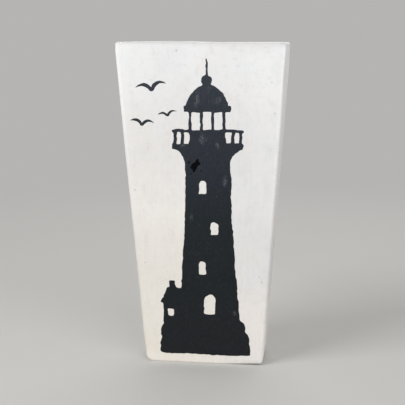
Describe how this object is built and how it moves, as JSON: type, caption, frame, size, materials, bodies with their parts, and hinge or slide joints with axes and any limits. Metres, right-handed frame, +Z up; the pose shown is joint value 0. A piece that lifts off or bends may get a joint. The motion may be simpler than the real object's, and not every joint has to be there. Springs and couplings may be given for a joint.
{
  "type": "painted wooden block ornament",
  "caption": "Tapered softwood block that stands on its narrow end, brushed white, with a lighthouse and gulls painted on its front in black.",
  "frame": {"origin": "centre of the foot, on the surface that the block stands on", "axes": "+Z up the block, -Y out of the painted front, +X to the right of somebody who looks at the front"},
  "size_m": [0.0894, 0.0504, 0.1762],
  "materials": {
    "softwood": "bare sawn end grain on the foot",
    "white_paint": "brushed eggshell paint, sanded back at the edges",
    "black_paint": "hand-brushed satin slate-black paint",
    "gloss_black_paint": "thick wet-look black paint"
  },
  "bodies": {
    "root": {"wood_block": "softwood", "white_paint_coat": "white_paint", "painted_lighthouse": "black_paint", "painted_gull_large": "black_paint", "painted_gull_middle": "black_paint", "painted_gull_small": "black_paint", "touch_up_dab": "gloss_black_paint"}
  },
  "joints": []
}
